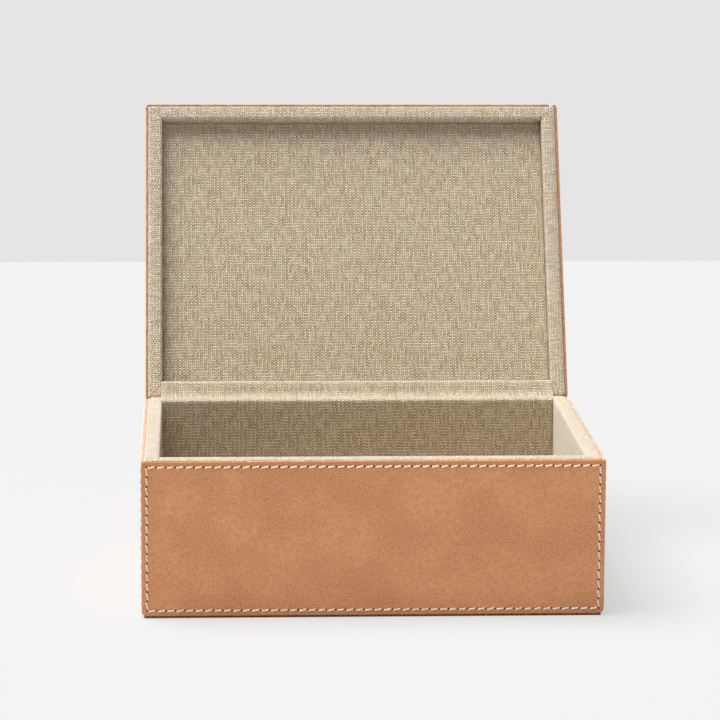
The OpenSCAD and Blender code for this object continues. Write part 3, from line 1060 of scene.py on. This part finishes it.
# The linen hinge: it lines the back wall, turns over the rim and sweeps up onto the lid. Its legs
# have some room at their sides and end, and the last one stands off the recess's side.
LEG_ROOM = 0.3
LEG_STANDS = 1.5
LEG_HALF = HALF_W - OPEN_INSET - LEG_ROOM
FIRST_LEG = BASE_TOP - RIM_R - FLOOR_TOP
LAST_LEG = CEILING - LID_RIM - RIM_R - LEG_ROOM
hinge_track = Track(
    (HALF_D - OPEN_INSET, FLOOR_TOP),
    90,
    [
        FIRST_LEG, (RIM_R, -90), SWEEP_START - RIM_START, (SWEEP_R, math.degrees(FOLD)),
        LID_FLAT + LEG_STANDS, (RIM_R, -90), LAST_LEG,
    ],
)
rim_to = hinge_track.length - LAST_LEG
base_rim_end = FIRST_LEG + RIM_R * math.pi / 2 + SWEEP_START - RIM_START
lid_rim_at = rim_to - RIM_R * math.pi / 4

# How soon it widens over the rims, its hems, its drooping cut edges and its dents, and how pale it
# is painted: paler hems, painted light on the base's rim and a painted highlight at the lid's
# rounded edge
WIDENS = 2.6
HEM = 3.0
HEM_LIFT = 0.16
EDGE_DROP = 0.22
HINGE_DENT = 0.05
HEM_PALENESS = 0.3
BASE_RIM_PAINTED_LIGHT = 0.1
LID_EDGE_PAINTED_HIGHLIGHT = 0.5
COLUMNS = 54
FLAT_START = (400, 130)


def painted_light_at(v):
    """Painted light along the linen hinge: on both rims, a painted highlight most at the lid's edge.
    """
    past_base = smooth_step(base_rim_end, base_rim_end + 4, v)
    on_base = smooth_step(FIRST_LEG, FIRST_LEG + 1.5, v) * (1 - past_base)
    on_lid = 1 - smooth_step(0.8, 2.6, abs(v - lid_rim_at))
    return max(BASE_RIM_PAINTED_LIGHT * on_base, LID_EDGE_PAINTED_HIGHLIGHT * on_lid)


# Columns of points as shares of the half width, closer at the hems and the cut edges
hem_share = 1 - HEM / HINGE_HALF
shares = {1.98 * i / COLUMNS - 0.99 for i in range(COLUMNS + 1)}
for share in (1, 0.9985, 0.994, hem_share - 0.002, hem_share + 0.002):
    shares |= {-share, share}
rings = []
shape = Shape()
for share in sorted(shares):
    outer, inner = [], []
    for v in hinge_track.stops(6.0, 7):
        past_rim = smooth_step(rim_to - WIDENS, rim_to, v)
        on_rim = smooth_step(FIRST_LEG, FIRST_LEG + WIDENS, v) * (1 - past_rim)
        half = LEG_HALF + (HINGE_HALF - LEG_HALF) * on_rim
        x = share * half
        hem = 1 - smooth_step(HEM - 0.3, HEM + 0.3, half - abs(x))
        edge = 1 - smooth_step(0.0, 0.35, half - abs(x))
        lift = HEM_LIFT * hem - EDGE_DROP * edge + HINGE_DENT * ripple(x / 9, v / 7, 21)
        # Paler at the hems, with painted light on the rims
        paleness = max(HEM_PALENESS * hem * on_rim, painted_light_at(v))
        for row, depth in ((outer, -lift), (inner, HINGE_T)):
            y, z = hinge_track.at(v, depth)
            row.append(shape.point((x, y, z), (x + FLAT_START[0], v + FLAT_START[1]), paleness))
    rings.append(outer + inner[::-1])
shape.shell(rings)
linen_hinge = shape.build("hinge_linen", [LINEN])
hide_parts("linen_hinge")
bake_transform(linen_hinge)

# Loose fibres: their mesh, and how far they start from a root, spread, curl and taper
FIBRE_SIDES = 5
FIBRE_RINGS = 7
FIBRE_R = 0.11
ROOT_SPREAD = 0.5
LEAN_SPREAD = 0.8
CURL = 0.35
TAPER = 0.6


def fibres(name, roots, count, reach, seed, radius=FIBRE_R, lowest=0.0):
    """Loose ends of linen: short curved fibres near the roots, drawn with the lid shut.

    None of them goes below the lowest height.
    """
    shape = Shape()
    dice = random.Random(seed)

    def spread(most):
        return Vector([dice.uniform(-most, most) for _ in range(3)])

    for _ in range(count):
        root, lean = dice.choice(roots)
        start = Vector(root) + spread(ROOT_SPREAD)
        heading = (Vector(lean) + spread(LEAN_SPREAD)).normalized()
        curl = spread(1)
        length = reach * dice.uniform(0.5, 1.1)
        rings = []
        for i in range(FIBRE_RINGS):
            x = i / (FIBRE_RINGS - 1)
            centre = start + heading * length * x + curl * CURL * length * x * x
            centre.z = max(centre.z, lowest + radius)
            across = heading.cross(Vector((0.3, 0.5, 0.8))).normalized()
            up = heading.cross(across).normalized()
            r = radius * (1 - TAPER * x)
            ring = []
            for k in range(FIBRE_SIDES):
                turn = 2 * math.pi * k / FIBRE_SIDES
                where = centre + across * r * math.cos(turn) + up * r * math.sin(turn)
                ring.append(shape.point(where, (length * x, k / FIBRE_SIDES)))
            rings.append(ring)
        shape.tube(rings)
    piece(shape, name, [THREAD], "lid")


# Roots of the fibres, each a place and the way they lean: in the gap between two strips at each
# front corner of the lid, and on the mitres of its rim
GAP_DEPTH = LEATHER_T - 0.2
RIM_GAP_LOW = BASE_TOP + 0.05
left_gap = [
    ((-HALF_W + GAP_DEPTH, -HALF_D + 2.0 + 0.6 * i, LID_RIM + 0.6 + 0.5 * i), (-0.4, 0.3, -0.6))
    for i in range(4)
]
right_gap = [
    ((LID_STRIP_END + 0.4 + 0.6 * i, -HALF_D + GAP_DEPTH, LID_RIM + 0.6 + 0.4 * i), (0.3, -0.4, -0.6))
    for i in range(4)
]
left_mitre, right_mitre = (
    [((way * (d - HALF_W), d - HALF_D, LID_RIM), (0.7 * way, 0.7, -0.15)) for d in (2.2, 4.0, 6.0)]
    for way in (1, -1)
)
fibres("left_gap_fibres", left_gap, 12, reach=2.2, seed=31)
fibres("right_gap_fibres", right_gap, 12, reach=2.2, seed=32)
fibres("left_mitre_fibres", left_mitre, 5, reach=1.8, seed=33, lowest=RIM_GAP_LOW)
fibres("right_mitre_fibres", right_mitre, 14, reach=2.2, seed=34, radius=0.15, lowest=RIM_GAP_LOW)

# Boards that the linen hides
for name, node in frame["nodes"].items():
    if name.endswith(("board", "rail")):
        node.data.materials.clear()
        node.data.materials.append(BOARD)


# Floor of the studio. It ends where the photograph's floor does, and past it the world shows the
# plain tone behind.
FLOOR_END = 1288.0
STAGE_HALF = 6000.0
STAGE_FRONT = -5000.0


def studio_material(name, colour, seen, share):
    """Matt paper. The camera sees that share of it as a plain tone, which softens the shadow."""
    p = Paint(name)
    place = p.node("ShaderNodeTexCoord").outputs["Object"]
    tone = p.noise(place, 0.8, 2.0)
    p.finish(p.mix(p.times(tone, 0.04), colour, srgb(225, 225, 228)), 0.95)
    rays = p.node("ShaderNodeLightPath").outputs
    direct = p.math("MAXIMUM", rays["Is Camera Ray"], rays["Is Glossy Ray"])
    glow = p.node("ShaderNodeEmission", seen, 1.0)
    mixed = p.node("ShaderNodeMixShader", p.times(direct, share))
    p.tree.links.new(p.shader.outputs[0], mixed.inputs[1])
    p.tree.links.new(glow.outputs[0], mixed.inputs[2])
    p.tree.links.new(mixed.outputs[0], p.tree.nodes["Material Output"].inputs["Surface"])
    return p.material


floor_paint = studio_material("studio_floor", srgb(205, 205, 205), srgb(236, 236, 236), 0.68)
shape = Shape()
rows = []
for y in (STAGE_FRONT, 0.0, FLOOR_END):
    rows.append([shape.point((x, y, 0.0)) for x in (-STAGE_HALF, 0.0, STAGE_HALF)])
for row_a, row_b in zip(rows, rows[1:]):
    shape.bridge(row_a, row_b, closed=False)
shape.build("studio", [floor_paint])


def sun(name, direction, strength, angle):
    """A soft distant light that shines from the given direction."""
    data = bpy.data.lights.new(name, "SUN")
    data.energy = strength
    data.angle = math.radians(angle)
    lamp = bpy.data.objects.new(name, data)
    lamp.rotation_mode = "QUATERNION"
    lamp.rotation_quaternion = Vector(direction).to_track_quat("Z", "Y")
    bpy.context.scene.collection.objects.link(lamp)


sun("overhead_light", (-0.34, 0.05, 0.94), strength=5.3, angle=48)
sun("front_fill", (0.1, -1.0, 0.12), strength=0.5, angle=60)

# World: a faint even light, which the camera sees as the plain tone behind the floor
world = bpy.data.worlds.new("studio_world")
world.use_nodes = True
sky = world.node_tree.nodes
ambient = sky["Background"]
ambient.inputs["Color"].default_value = (1.0, 1.0, 1.0, 1.0)
ambient.inputs["Strength"].default_value = 0.05
backdrop = sky.new("ShaderNodeBackground")
backdrop.inputs["Color"].default_value = srgb(229, 229, 229)
rays = sky.new("ShaderNodeLightPath")
chosen = sky.new("ShaderNodeMixShader")
for output, socket in (
    (rays.outputs["Is Camera Ray"], chosen.inputs[0]), (ambient.outputs[0], chosen.inputs[1]),
    (backdrop.outputs[0], chosen.inputs[2]),
    (chosen.outputs[0], sky["World Output"].inputs["Surface"]),
):
    world.node_tree.links.new(output, socket)
bpy.context.scene.world = world

# Camera, fitted to the photograph's edges
CAMERA_AT = Vector((-98.169, -1913.177, 456.803))
CAMERA_YAW = math.radians(-2.8370)
CAMERA_PITCH = math.radians(-9.7687)
CAMERA_ROLL = math.radians(-0.2832)
CAMERA_LENS = 170.345
camera_data = bpy.data.cameras.new("camera")
camera_data.lens = CAMERA_LENS
camera_data.sensor_width = 36.0
camera_data.clip_start = 0.05
camera_data.clip_end = 50.0
camera = bpy.data.objects.new("camera", camera_data)
bpy.context.scene.collection.objects.link(camera)
level = Matrix.Rotation(math.radians(90), 4, "X")
aim = Matrix.Rotation(CAMERA_YAW, 4, "Z") @ Matrix.Rotation(CAMERA_PITCH, 4, "X")
aim = aim @ Matrix.Rotation(CAMERA_ROLL, 4, "Y") @ level
camera.matrix_world = Matrix.Translation(CAMERA_AT * MM) @ aim
bpy.context.scene.camera = camera
bpy.context.scene.view_settings.view_transform = "Standard"
